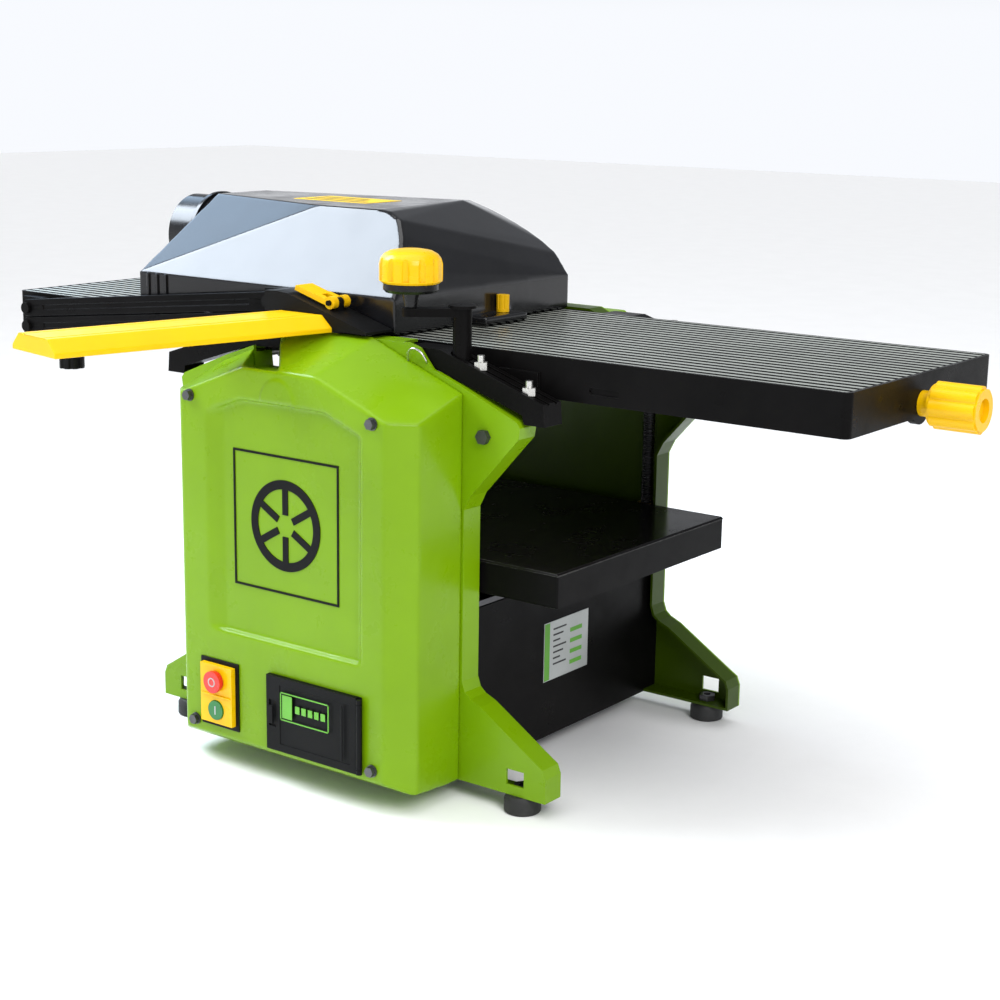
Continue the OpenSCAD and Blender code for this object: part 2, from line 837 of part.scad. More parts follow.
module feed_chain() {
    color([0.3, 0.3, 0.3]) prism_y(chain_y + 1, chain_y + chain_w - 1) loop([
        [-roller_x, roller_z, roller_sprocket_r], [roller_x, roller_z, roller_sprocket_r],
        [0, wheel_z, wheel_sprocket_r]
    ], chain_t);
}

module rear_cover() {
    back = 236;
    color(green) difference() {
        prism_y(panel_y, back) rear_cover_shape();
        prism_y(panel_y - 1, back - 3) offset(delta = -3) rear_cover_shape();
    }
}

module rear_cover_shape() {
    polygon([
        [-84, 484], [84, 484], [108, 462], [108, 430], [64, 336], [-64, 336],
        [-108, 430], [-108, 462]
    ]);
}

module finger_rod() {
    color(steel) rod_y(finger_x, finger_z, rod_r, -panel_in, panel_in);
}

module kickback_fingers() {
    count = 19;
    pitch = 16;
    color([0.55, 0.55, 0.55]) difference() {
        union() {
            for (i = [0:count - 1]) {
                y = (i - (count - 1) / 2) * pitch;
                translate([finger_x, y, finger_z]) rotate([0, -20, 0])
                    block([-5, -4, -22], [5, 4, -6]);
            }
            rod_y(finger_x, finger_z, 8.5, -150, 150);
        }
        rod_y(finger_x, finger_z, rod_r + running, -160, 160);
    }
}

module bed() {
    low = bed_z - bed_h;
    color(black) difference() {
        union() {
            difference() {
                block([-bed_x, -bed_y, low], [bed_x, bed_y, bed_z - 3]);
                block([-bed_x + 8, -bed_y + 8, low - 1], [bed_x - 8, bed_y - 8, bed_z - 11]);
            }
            for (x = [-180, -90, 0, 90, 180])
                block([x - 4, -bed_y + 7, low + 9], [x + 4, bed_y - 7, bed_z - 10]);
            block([-bed_x + 7, -4, low + 9], [bed_x - 7, 4, bed_z - 10]);
            for (x = [-spindle_x, spindle_x], side = [-1, 1])
                block([x - 13, side * 184 - 15, low + 8], [x + 13, side * 184 + 15, bed_z - 6]);
        }
        for (x = [-spindle_x, spindle_x], y = [-spindle_y, spindle_y])
            rod_z(x, y, nut_r, low, bed_z);
    }
}

module bed_plate() {
    color([0.25, 0.25, 0.26]) difference() {
        block([-bed_x, -bed_y, bed_z - 3], [bed_x, bed_y, bed_z]);
        for (x = [-bed_x, bed_x]) translate([x, 0, bed_z]) rotate([0, 45, 0])
            block([-1.4, -bed_y - 1, -1.4], [1.4, bed_y + 1, 1.4]);
    }
}

module bed_nuts() {
    low = bed_z - bed_h;
    color([0.75, 0.6, 0.3]) for (x = [-spindle_x, spindle_x], y = [-spindle_y, spindle_y])
        difference() {
            union() {
                rod_z(x, y, nut_r, low + 4, bed_z - 2);
                rod_z(x, y, nut_r + 2.5, low + 4, low + 8);
            }
            rod_z(x, y, spindle_r + running, low, bed_z + 2);
        }
}

// Lift spindle with its sprocket and collars
module lift_spindle(x, y, top) {
    rod_z(x, y, spindle_r, spindle_low, top);
    rod_z(x, y, lift_sprocket_r, lift_chain_z + 0.5, lift_chain_z + lift_chain_h - 0.5);
    rod_z(x, y, 9, 200.5, lift_chain_z + 1);
}

module crank_spindle() {
    color(steel) lift_spindle(spindle_x, -spindle_y, crank_z + 2);
}

module rear_right_spindle() {
    color(steel) lift_spindle(spindle_x, spindle_y, spindle_top);
}

module near_left_spindle() {
    color(steel) lift_spindle(-spindle_x, -spindle_y, spindle_top);
}

module rear_left_spindle() {
    color(steel) lift_spindle(-spindle_x, spindle_y, spindle_top);
}

module lift_chain() {
    color([0.3, 0.3, 0.3]) translate([0, 0, lift_chain_z]) linear_extrude(lift_chain_h) loop([
        [spindle_x, spindle_y, lift_sprocket_r], [-spindle_x, spindle_y, lift_sprocket_r],
        [-spindle_x, -spindle_y, lift_sprocket_r], [spindle_x, -spindle_y, lift_sprocket_r]
    ], chain_t);
}

module spindle_brackets() {
    inner = 172;
    color([0.45, 0.46, 0.48]) for (x = [-spindle_x, spindle_x], side = [-1, 1], z = [190, 432])
        difference() {
            block([x - (x > 0 ? 9.5 : 12), min(side * inner, side * panel_in), z],
                [x + (x > 0 ? 12 : 9.5), max(side * inner, side * panel_in), z + 10]);
            rod_z(x, side * spindle_y, spindle_r + running, z - 1, z + 11);
        }
}

module crank_arm() {
    end_z = crank_z + 13;
    color(black) difference() {
        union() {
            rod_z(spindle_x, -spindle_y, 10, 478, end_z);
            rod_z(spindle_x, -spindle_y, 15, end_z - 3, end_z);
            translate([spindle_x, -spindle_y, crank_z]) rotate([0, 0, crank_turn]) {
                block([0, -8, 1], [crank_r, 8, 10]);
                rod_z(crank_r, 0, 9, 1, 10);
            }
        }
        rod_z(spindle_x, -spindle_y, spindle_r, 470, crank_z + 2);
    }
    color(steel) translate([spindle_x, -spindle_y, crank_z]) rotate([0, 0, crank_turn])
        rod_z(crank_r, 0, 4, 3, 60);
}

module crank_knob() {
    turn_x = spindle_x + crank_r * cos(crank_turn);
    turn_y = -spindle_y + crank_r * sin(crank_turn);
    low = crank_z + 10 + gap;
    color(yellow) translate([turn_x, turn_y, 0]) difference() {
        union() {
            translate([0, 0, low + 16]) rotate_extrude() polygon([
                [0, -16], [6.5, -16], [9.5, 0], [26, 0], [29, 3], [29, 9], [33, 12], [33, 29],
                [31.5, 35], [28, 39.5], [22, 42.8], [12, 44.6], [0, 45]
            ]);
        }
        for (turn = [0:30:330]) rotate([0, 0, turn]) rod_z(35, 0, 4.5, low + 29, low + 63);
        rod_z(0, 0, 4 + running, low - 1, crank_z + 60.5);
    }
}

// Far edge of the hood's rounded right side
function hood_far(t) = let (reach = hood_right + 104, rise = hood_z - 6 - hood_strip)
    [-112 + reach * t, hood_y, hood_strip + rise * (sqrt(1 - t * t) + 1 - t) / 2];

// Point on the hood's leaning front face
function hood_front(x, z) = [x, -hood_y + 0.75 * (z - hood_strip), z];

// Corner points of the hood
function hood_points() = concat([
    [hood_left, -hood_y, hood_low], [hood_right, -hood_y, hood_low],
    [hood_left, hood_y, hood_low], [hood_right - 8, hood_y, hood_low],
    hood_front(hood_left, hood_strip), hood_front(hood_right, hood_strip),
    hood_front(40, hood_z - 59), hood_front(22, hood_z - 27), hood_front(7, hood_z - 9),
    hood_front(-12, hood_z - 1.5), hood_front(-27, hood_z), hood_front(-118, hood_z),
    [hood_left + 10, -46, hood_z], [hood_left + 6, 40, hood_z],
    [hood_left + 8, hood_y, hood_z - 12], [-60, 90, hood_z]
], [for (i = [0:8]) hood_far(i / 8)]);

// Closed hood block shrunk by a wall on the sides and the top
module hood_block(wall, drop) {
    span = hood_right - hood_left;
    mid_x = (hood_right + hood_left) / 2;
    tall = hood_z - hood_low;
    shrink = [(span - 2 * wall) / span, (hood_y - wall) / hood_y, (tall - wall) / tall];
    hull() for (p = hood_points()) translate([
        mid_x + (p[0] - mid_x) * shrink[0], p[1] * shrink[1],
        hood_low + (p[2] - hood_low) * shrink[2] - (p[2] == hood_low ? drop : 0)
    ]) cube(0.02, center = true);
}

module hood() {
    color(black) difference() {
        union() {
            hood_block(0, 0);
            block([hood_right - 8, -36, hood_low], [73, 44, 499]);
        }
        hood_block(hood_wall, 5);
        rod_x(port_y, port_z, port_r, hood_left - 10, hood_left + 40);
        rod_z(latch_x, latch_y, 4 + running, hood_low - 1, 510);
    }
}

module dust_port() {
    inner = port_r - 2.5;
    start = hood_left + 16;
    color(black) difference() {
        union() {
            rod_x(port_y, port_z, port_r, hood_left - port_len + 17, start);
            rod_x(port_y, port_z, port_r + 5, hood_left - 6, hood_left);
        }
        rod_x(port_y, port_z, inner, hood_left - port_len, start + 1);
    }
}

module latch_knob() {
    color(yellow) difference() {
        union() {
            rod_z(latch_x, latch_y, 7.5, 499.4, 519);
            rod_z(latch_x, latch_y, 4, hood_low + 1, 500);
        }
        for (turn = [0:45:315]) translate([latch_x, latch_y, 0]) rotate([0, 0, turn])
            rod_z(8.4, 0, 1.8, 503, 520);
    }
}

module arm_mount() {
    back = -half_w;
    front = arm_y + link_t + 0.5;
    color(black) difference() {
        union() {
            block([arm_x - 18, front, 436], [arm_x + 18, back, 484]);
            block([arm_x - 18, front, 434], [boss_x + 14, back, 443]);
            block([boss_x - 14, boss_y - 14, 434], [boss_x + 14, back, 443]);
        }
        rod_z(boss_x, boss_y, 5 + running, 433, 444);
    }
    color(steel) for (z = [arm_z, arm_z + pivot_gap]) {
        rod_y(arm_x, z, pivot_r, arm_y - 1, front + 1);
        rod_y(arm_x, z, 7, arm_y - 4, arm_y - 0.5);
    }
}

// Bar between two pivots that starts at the origin and leans up by the arm's slope
module arm_link() {
    rotate([0, -arm_slope, 0]) difference() {
        union() {
            block([0, arm_y, -link_w / 2], [pivot_span, arm_y + link_t, link_w / 2]);
            for (x = [0, pivot_span]) rod_y(x, 0, link_w / 2, arm_y, arm_y + link_t);
        }
        for (x = [0, pivot_span])
            rod_y(x, 0, pivot_r + running, arm_y - 1, arm_y + link_t + 1);
        block([30, arm_y - 1, -3], [pivot_span - 30, arm_y + 1.2, 3]);
    }
}

module upper_link() {
    color(black) translate([arm_x, 0, arm_z + pivot_gap]) arm_link();
}

module lower_link() {
    color(black) translate([arm_x, 0, arm_z]) arm_link();
}

// Arched section of the guard bar grown by a margin, flat side down
module bar_section(margin) {
    half = bar_w / 2 + margin;
    polygon([
        [-half, -margin], [half, -margin], [half, 5], [30 + margin, bar_h + margin],
        [-30 - margin, bar_h + margin], [-half, 5]
    ]);
}

// Runs along the guard bar between two distances from its middle
module along_bar(from, to) {
    translate([bar_x, bar_y, bar_z]) rotate([0, 0, -bar_turn]) prism_y(from, to) children();
}

module guard_bar() {
    out = bar_back - bar_len;
    color(yellow) difference() {
        along_bar(out, bar_back) bar_section(0);
        along_bar(out + 4, bar_back + 1) translate([0, -0.01]) polygon([
            [-bar_w / 2 + 2, -1], [bar_w / 2 - 2, -1], [bar_w / 2 - 2, 4.2],
            [29, bar_h - 2], [-29, bar_h - 2], [-bar_w / 2 + 2, 4.2]
        ]);
        for (x = [-20, 20]) along_bar(out - 1, bar_back + 1)
            translate([x - 1.5, bar_h - 1]) square([3, 3]);
    }
}

module guard_head() {
    color(black) difference() {
        union() {
            prism_y(head_front, head_back) polygon([
                [-100, bar_z - 2.6], [-100, 531], [-84, 532], [-66, 530.5], [40, 499.5],
                [48, 497.2], [48, 494.6], [10, 494.6], [10, bar_z - 2.6]
            ]);
            prism_y(arm_y + link_t + 0.5, head_back) polygon([
                [head_x - 13, head_z - 13], [head_x - 13, head_z + pivot_gap + 13],
                [-95, 531], [-95, head_z - 1]
            ]);
        }
        along_bar(-60, 60) bar_section(0.4);
        along_bar(-60, 60) translate([-bar_w / 2 + 12, -6]) square([bar_w - 24, 10]);
        // room above the belt cover's rear edge
        block([-110, head_front - 1, bar_z - 5], [60, -panel_y + 1, bar_z + 0.3]);
    }
    color(steel) for (z = [head_z, head_z + pivot_gap]) {
        rod_y(head_x, z, pivot_r, arm_y - 1, arm_y + link_t + 1);
        rod_y(head_x, z, 7, arm_y - 4, arm_y - 0.5);
    }
    // rounded lug between the clamp lever's prongs, and its pin
    color(black) block([lever_x - 5, -195.4, lever_z - 11], [lever_x + 5, -185.6, lever_z]);
    color(black) rod_y(lever_x, lever_z, 5, -195.4, -185.6);
    color(steel) rod_y(lever_x, lever_z, 3, -207, -174);
}

module clamp_lever() {
    color(yellow) difference() {
        union() {
            for (y = [-204, -185]) {
                rod_y(lever_x, lever_z, 7, y, y + 8);
                translate([lever_x, 0, lever_z]) rotate([0, lever_slope, 0])
                    block([-24, y, -4.5], [0, y + 8, 2]);
            }
            translate([lever_x, 0, lever_z]) rotate([0, lever_slope, 0])
                block([-52, -204, -4.5], [-22, -177, 1]);
        }
        rod_y(lever_x, lever_z, 3 + running, -210, -170);
    }
}

module height_knob() {
    color(black) difference() {
        union() {
            rod_z(boss_x, boss_y, 15.5, 403, 431);
            rod_z(boss_x, boss_y, 9, 430, 433.6);
            rod_z(boss_x, boss_y, 5, 432, 444.5);
        }
        for (turn = [0:45:315]) translate([boss_x, boss_y, 0]) rotate([0, 0, turn])
            rod_z(17, 0, 3.5, 402, 425);
    }
}

near_panel();
rear_panel();
cross_panels();
base_plate();
feet();
foot_sleeves();
belt_cover();
bolts();
emblem();
switch_plate();
switch_housing();
stop_button();
start_button();
storage_box();
storage_door();
right_ways();
left_ways();
way_studs();
infeed_frame();
infeed_top();
outfeed_frame();
outfeed_top();
cross_beam();
depth_nut();
depth_screw();
depth_knob();
cutter_block();
bearing_housings();
drive_belt();
motor();
motor_rotor();
infeed_roller();
outfeed_roller();
roller_blocks();
reduction_wheel();
feed_chain();
rear_cover();
finger_rod();
kickback_fingers();
bed();
bed_plate();
bed_nuts();
crank_spindle();
rear_right_spindle();
near_left_spindle();
rear_left_spindle();
lift_chain();
spindle_brackets();
crank_arm();
crank_knob();
hood();
dust_port();
latch_knob();
arm_mount();
upper_link();
lower_link();
guard_head();
guard_bar();
clamp_lever();
height_knob();
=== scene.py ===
import math

import bmesh
import bpy
from mathutils import Matrix, Vector


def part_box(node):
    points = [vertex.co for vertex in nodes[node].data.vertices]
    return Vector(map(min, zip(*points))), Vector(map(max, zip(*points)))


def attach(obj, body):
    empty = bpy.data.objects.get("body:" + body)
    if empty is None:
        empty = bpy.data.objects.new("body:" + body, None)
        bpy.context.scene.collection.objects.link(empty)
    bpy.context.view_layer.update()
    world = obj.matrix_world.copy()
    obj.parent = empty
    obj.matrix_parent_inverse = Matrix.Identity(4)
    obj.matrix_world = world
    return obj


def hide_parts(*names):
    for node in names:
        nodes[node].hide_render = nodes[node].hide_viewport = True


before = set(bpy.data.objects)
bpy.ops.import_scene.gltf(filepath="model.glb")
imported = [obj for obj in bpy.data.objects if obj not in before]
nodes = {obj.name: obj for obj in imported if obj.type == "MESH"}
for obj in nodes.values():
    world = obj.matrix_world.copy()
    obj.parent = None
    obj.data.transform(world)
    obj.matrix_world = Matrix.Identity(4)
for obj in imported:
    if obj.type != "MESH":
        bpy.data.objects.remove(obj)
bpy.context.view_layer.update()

WELD = 0.00002  # metres: vertices nearer to each other than this become one
CORNER = math.radians(34)  # edges that turn by more than this are rounded
GRAIN_HEIGHT = 0.0004  # metres
LIGHT_EDGE_REACH = 0.0006  # metres: how far lighter edges, wear and painted highlight, reach from an edge
FACE_DEPTH = 0.0004  # metres: what lies further below a top face is in its grooves, which are painted dark as shade
GROOVES, GROOVE_SHARE = 20, 0.52  # on each table top, and how much of its width they take; they are painted dark as shade
THREAD_PITCH, THREAD_HEIGHT = 0.003, 0.0012  # metres
CUP_BELOW_TOP = 0.0355  # metres: the crank knob is black from here down
PAINTED_SHADE_SHARE = 0.22  # the share of its colour that the rear panel's inner face keeps under its painted shade
SHADOW_EDGE = 0.0004  # metres: half of the width over which that shadow starts


# ---------------------------------------------------------------- materials
def shade(colour, factor):
    return tuple(min(1.0, max(0.0, c * factor)) for c in colour)


def grey(value):
    return (value, value, value)


def ramp(tree, value, low, high, low_at=0.35, high_at=0.65):
    """A colour that goes from low to high as a value goes from low_at to high_at."""
    node = tree.nodes.new("ShaderNodeValToRGB")
    for i, (colour, position) in enumerate(((low, low_at), (high, high_at))):
        node.color_ramp.elements[i].position = position
        node.color_ramp.elements[i].color = (*colour, 1)
    tree.links.new(value, node.inputs["Fac"])
    return node.outputs["Color"]


def noise(tree, coords, scale, detail=4.0, rough=0.55, stretch=None):
    if stretch is not None:
        mapping = tree.nodes.new("ShaderNodeMapping")
        mapping.inputs["Scale"].default_value = stretch
        tree.links.new(coords, mapping.inputs["Vector"])
        coords = mapping.outputs["Vector"]
    node = tree.nodes.new("ShaderNodeTexNoise")
    node.inputs["Scale"].default_value = scale
    node.inputs["Detail"].default_value = detail
    node.inputs["Roughness"].default_value = rough
    tree.links.new(coords, node.inputs["Vector"])
    return node.outputs["Fac"]


def mix(tree, factor, a, b, kind="MIX"):
    node = tree.nodes.new("ShaderNodeMix")
    node.data_type = "RGBA"
    node.blend_type = kind
    for socket, value in (("Factor", factor), ("A", a), ("B", b)):
        target = [s for s in node.inputs if s.name == socket and s.enabled][0]
        if isinstance(value, bpy.types.NodeSocket):
            tree.links.new(value, target)
        elif isinstance(value, tuple):
            target.default_value = (*value, 1)
        else:
            target.default_value = value
    return [s for s in node.outputs if s.enabled][0]


def calc(tree, kind, value, *numbers):
    """One step of arithmetic on a value."""
    node = tree.nodes.new("ShaderNodeMath")
    node.operation = kind
    tree.links.new(value, node.inputs[0])
    for i, number in enumerate(numbers):
        node.inputs[i + 1].default_value = number
    return node.outputs[0]


def coordinates(tree, kind="Object"):
    return tree.nodes.new("ShaderNodeTexCoord").outputs[kind]


def along(tree, axis, kind="Object"):
    """The coordinate along one axis; an object's are row-frame metres at rest."""
    split = tree.nodes.new("ShaderNodeSeparateXYZ")
    tree.links.new(coordinates(tree, kind), split.inputs[0])
    return split.outputs[axis]


def raise_surface(tree, height, strength, distance):
    """Adds a bump on top of the one that the material has, if any."""
    socket = tree.nodes["Principled BSDF"].inputs["Normal"]
    rise = tree.nodes.new("ShaderNodeBump")
    rise.inputs["Strength"].default_value = strength
    rise.inputs["Distance"].default_value = distance
    tree.links.new(height, rise.inputs["Height"])
    if socket.links:
        tree.links.new(socket.links[0].from_socket, rise.inputs["Normal"])
    tree.links.new(rise.outputs["Normal"], socket)


def edge_mask(tree, strength, coords):
    """Mask that is high along sharp edges, broken up by noise."""
    bevel = tree.nodes.new("ShaderNodeBevel")
    bevel.samples = 4
    bevel.inputs["Radius"].default_value = LIGHT_EDGE_REACH
    flat = tree.nodes.new("ShaderNodeNewGeometry")
    dot = tree.nodes.new("ShaderNodeVectorMath")
    dot.operation = "DOT_PRODUCT"
    tree.links.new(bevel.outputs["Normal"], dot.inputs[0])
    tree.links.new(flat.outputs["Normal"], dot.inputs[1])
    mask = ramp(tree, dot.outputs["Value"], grey(strength), grey(0.0), 0.80, 0.985)
    breakup = ramp(tree, noise(tree, coords, 60.0, 6.0, 0.7), grey(0.15), grey(1.0), 0.4, 0.6)
    return mix(tree, 1.0, mask, breakup, "MULTIPLY")


def surface(
    name,
    colour,
    rough,
    metal=0.0,
    vary=0.08,
    grain=900.0,
    bump=0.05,
    rough_vary=0.08,
    wear_and_highlight=0.0,
    edge_colour=(0.5, 0.5, 0.48),
    stretch=None,
    coat=0.0,
    level=0.5,
    dust=0.0,
):
    """A material with cloudy colour, fine grain and smudged gloss, and with dust and lighter
    edges where they are asked for."""
    m = bpy.data.materials.new(name)
    m.use_nodes = True
    tree = m.node_tree
    shader = tree.nodes["Principled BSDF"]
    coords = coordinates(tree)
    cloud = ramp(tree, noise(tree, coords, 9.0), shade(colour, 1 - vary), shade(colour, 1 + vary))
    fine = noise(tree, coords, grain, 3.0, 0.6, stretch)
    speckle = ramp(tree, fine, grey(0.6), grey(1.0), 0.3, 0.6)
    tint = mix(tree, min(0.6, vary * 2), cloud, speckle, "MULTIPLY")
    if dust > 0:
        patches = ramp(tree, noise(tree, coords, 28.0, 6.0, 0.7), grey(0.0), grey(dust), 0.45, 0.75)
        tint = mix(tree, patches, tint, (0.45, 0.42, 0.36))
    if wear_and_highlight > 0:
        tint = mix(tree, edge_mask(tree, wear_and_highlight, coords), tint, edge_colour)
    tree.links.new(tint, shader.inputs["Base Color"])
    smudge = noise(tree, coords, 22.0, 5.0, 0.65)
    glossiest, dullest = max(0.03, rough - rough_vary), min(1, rough + rough_vary)
    roughness = ramp(tree, smudge, grey(glossiest), grey(dullest))
    tree.links.new(roughness, shader.inputs["Roughness"])
    shader.inputs["Metallic"].default_value = metal
    shader.inputs["Specular IOR Level"].default_value = level
    shader.inputs["Coat Weight"].default_value = coat
    shader.inputs["Coat Roughness"].default_value = 0.08
    raise_surface(tree, fine, bump, GRAIN_HEIGHT)
    return m


def base_colour(material):
    """A material's node tree, its base colour socket and what feeds that."""
    tree = material.node_tree
    socket = tree.nodes["Principled BSDF"].inputs["Base Color"]
    return tree, socket, socket.links[0].from_socket


def colour_below(material, level, colour):
    """Gives everything below a height, in metres, another colour."""
    tree, socket, upper = base_colour(material)
    below = calc(tree, "LESS_THAN", along(tree, "Z"), level)
    tree.links.new(mix(tree, below, upper, colour), socket)


def shadowed(material, axis, level, factor):
    """Darkens everything on the low side of a level on one axis, in metres."""
    tree, socket, upper = base_colour(material)
    step = tree.nodes.new("ShaderNodeMapRange")
    step.inputs["From Min"].default_value = level - SHADOW_EDGE
    step.inputs["From Max"].default_value = level + SHADOW_EDGE
    tree.links.new(along(tree, axis), step.inputs["Value"])
    light = ramp(tree, step.outputs["Result"], grey(factor), grey(1.0), 0.0, 1.0)
    tree.links.new(mix(tree, 1.0, upper, light, "MULTIPLY"), socket)


def striped(material, half, count, share, colour):
    """Another colour along the middle of each of count strips across Y, from -half to half."""
    tree, socket, upper = base_colour(material)
    strip = calc(tree, "MULTIPLY_ADD", along(tree, "Y"), count / (2 * half), count / 2)
    off_middle = calc(tree, "ABSOLUTE", calc(tree, "SUBTRACT", calc(tree, "FRACT", strip), 0.5))
    stripe = ramp(tree, off_middle, grey(1.0), grey(0.0), share / 2 - 0.04, share / 2 + 0.05)
    tree.links.new(mix(tree, stripe, upper, colour), socket)


def threads(material, pitch):
    """Adds rings along Z, one per pitch in metres, as on a threaded rod."""
    tree = material.node_tree
    wave = tree.nodes.new("ShaderNodeTexWave")
    wave.bands_direction = "Z"
    wave.inputs["Scale"].default_value = math.pi / (10 * pitch)
    tree.links.new(coordinates(tree), wave.inputs["Vector"])
    raise_surface(tree, wave.outputs["Fac"], 1.0, THREAD_HEIGHT)


GREEN = (0.158, 0.300, 0.001)
YELLOW = (0.76, 0.435, 0.0004)
BLACK = (0.0035, 0.0032, 0.0032)
OILED = {"colour": (0.10, 0.10, 0.105), "rough": 0.38, "metal": 0.9, "vary": 0.2, "grain": 700,
         "bump": 0.1}

green = surface("green_paint", GREEN, 0.32, vary=0.05, grain=1400, bump=0.03, coat=0.05, level=0.2)
# painted shade: the rear panel's inner face, deep under the tables, is darkened to stand for the
# shadow that falls there
rear_panel_painted_shade = surface("green_inside_painted_shade", GREEN, 0.36, vary=0.08, grain=1400, bump=0.03, level=0.2)
shadowed(rear_panel_painted_shade, "Y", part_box("cross_panels")[1][1] + SHADOW_EDGE, PAINTED_SHADE_SHARE)
# the lighter edges of the black coat are wear and a faint painted highlight
black = surface("black_coat", BLACK, 0.34, vary=0.25, grain=1600, bump=0.12, wear_and_highlight=0.05,
                dust=0.002, level=0.05)
moulded = surface("black_moulded", grey(0.004), 0.42, vary=0.2, grain=2200, bump=0.15, level=0.1)
glossy = surface("hood_gloss", (0.006, 0.006, 0.007), 0.17, vary=0.2, grain=2600, bump=0.03,
                 rough_vary=0.05, level=0.5, dust=0.006)
yellow = surface("yellow_plastic", YELLOW, 0.32, vary=0.05, grain=1800, bump=0.06, coat=0.03,
                 level=0.25)
yellow_bar = surface("yellow_aluminium", (0.79, 0.465, 0.0004), 0.36, level=0.2, vary=0.04,
                     grain=700, bump=0.05, stretch=(1, 1, 30))
knob_yellow = surface("knob_yellow", YELLOW, 0.28, vary=0.05, grain=1800, bump=0.05, coat=0.03,
                      level=0.25)
colour_below(knob_yellow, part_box("crank_knob")[1][2] - CUP_BELOW_TOP, grey(0.006))
steel = surface("bright_steel", (0.62, 0.61, 0.58), 0.30, metal=0.95, vary=0.1, grain=500,
                bump=0.08, stretch=(1, 6, 1))
oiled = surface("oiled_steel", **OILED)
threaded = surface("threaded_steel", **OILED)
threads(threaded, THREAD_PITCH)
iron = surface("grey_iron", (0.20, 0.20, 0.21), 0.6, metal=0.7, vary=0.15, grain=400, bump=0.4)
bronze = surface("bronze", (0.50, 0.32, 0.12), 0.35, metal=1.0, vary=0.12, grain=600, bump=0.1)
rubber = surface("rubber", grey(0.012), 0.62, vary=0.3, grain=1300, bump=0.3, dust=0.04)
machined = surface("machined_top", (0.47, 0.49, 0.44), 0.38, metal=0.6, grain=160,
                   stretch=(0.06, 5, 5))
top_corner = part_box("infeed_top")[1]
# painted shade: the table tops' grooves are darkened, as dark strips across Y and below the top
# face, to stand for the shade in them
striped(machined, top_corner[1], GROOVES, GROOVE_SHARE, (0.012, 0.012, 0.011))
colour_below(machined, top_corner[2] - FACE_DEPTH, (0.006, 0.006, 0.005))
# painted highlight: the bed plate's strong light-grey edges stand for the highlight along its lip,
# and for wear
bed_gloss = surface("bed_top", (0.008, 0.007, 0.007), 0.22, vary=0.2, grain=500, bump=0.05,
                    stretch=(1, 12, 1), level=0.12, wear_and_highlight=0.4, edge_colour=(0.45, 0.45, 0.43))
motor_paint = surface("motor_paint", (0.05, 0.052, 0.055), 0.45, vary=0.15, bump=0.2)
red = surface("red_plastic", (0.62, 0.02, 0.012), 0.3, vary=0.08, grain=1500, bump=0.06)
go_green = surface("start_plastic", (0.01, 0.16, 0.03), 0.3, vary=0.1, grain=1500, bump=0.06)
label = surface("label_yellow", (0.80, 0.52, 0.01), 0.45, vary=0.06, grain=1500, bump=0.03)
label_dark = surface("label_dark", grey(0.02), 0.5, vary=0.2, grain=1500, bump=0.03)
label_pale = surface("label_pale", (0.45, 0.47, 0.46), 0.35, metal=0.4, vary=0.1, bump=0.03)
label_green = surface("label_green", (0.10, 0.35, 0.02), 0.4, vary=0.1, grain=1500, bump=0.03)
floor_white = surface("floor", grey(0.92), 0.7, vary=0.01, grain=60, bump=0.02)

LOOKS = {
    "near_panel": green, "rear_panel": rear_panel_painted_shade, "cross_panels": black, "base_plate": black,
    "feet": rubber, "foot_sleeves": oiled, "belt_cover": green, "bolts": oiled,
    "emblem": moulded, "switch_plate": moulded, "switch_housing": yellow,
    "stop_button": red, "start_button": go_green, "storage_box": moulded,
    "storage_door": moulded, "right_ways": black, "left_ways": black, "way_studs": steel,
    "infeed_frame": black, "infeed_top": machined, "outfeed_frame": black,
    "outfeed_top": machined, "cross_beam": black, "depth_nut": bronze,
    "depth_screw": steel, "depth_knob": yellow, "cutter_block": steel,
    "bearing_housings": iron, "drive_belt": rubber, "motor": motor_paint,
    "motor_rotor": steel, "infeed_roller": steel, "outfeed_roller": steel,
    "roller_blocks": iron, "reduction_wheel": oiled, "feed_chain": oiled,
    "rear_cover": green, "finger_rod": steel, "kickback_fingers": oiled, "bed": black,
    "bed_plate": bed_gloss, "bed_nuts": bronze, "crank_spindle": threaded,
    "rear_right_spindle": threaded, "near_left_spindle": threaded,
    "rear_left_spindle": threaded, "lift_chain": oiled, "spindle_brackets": iron,
    "crank_arm": black, "crank_knob": knob_yellow, "hood": glossy, "dust_port": glossy,
    "latch_knob": yellow, "arm_mount": black, "upper_link": black, "lower_link": black,
    "guard_head": moulded, "guard_bar": yellow_bar, "clamp_lever": yellow,
    "height_knob": moulded,
}

for name, obj in nodes.items():
    for slot in obj.material_slots:
        slot.link = "OBJECT"
        slot.material = LOOKS[name]


# ---------------------------------------------------------------- edges
def weld(obj):
    obj.modifiers.new("weld", "WELD").merge_threshold = WELD


def round_edges(obj, width):
    bevel = obj.modifiers.new("round", "BEVEL")
    bevel.width = width
    bevel.segments = 2
    bevel.limit_method = "ANGLE"
    bevel.angle_limit = CORNER
    normals = obj.modifiers.new("normals", "WEIGHTED_NORMAL")
    normals.keep_sharp = True
    return bevel, normals


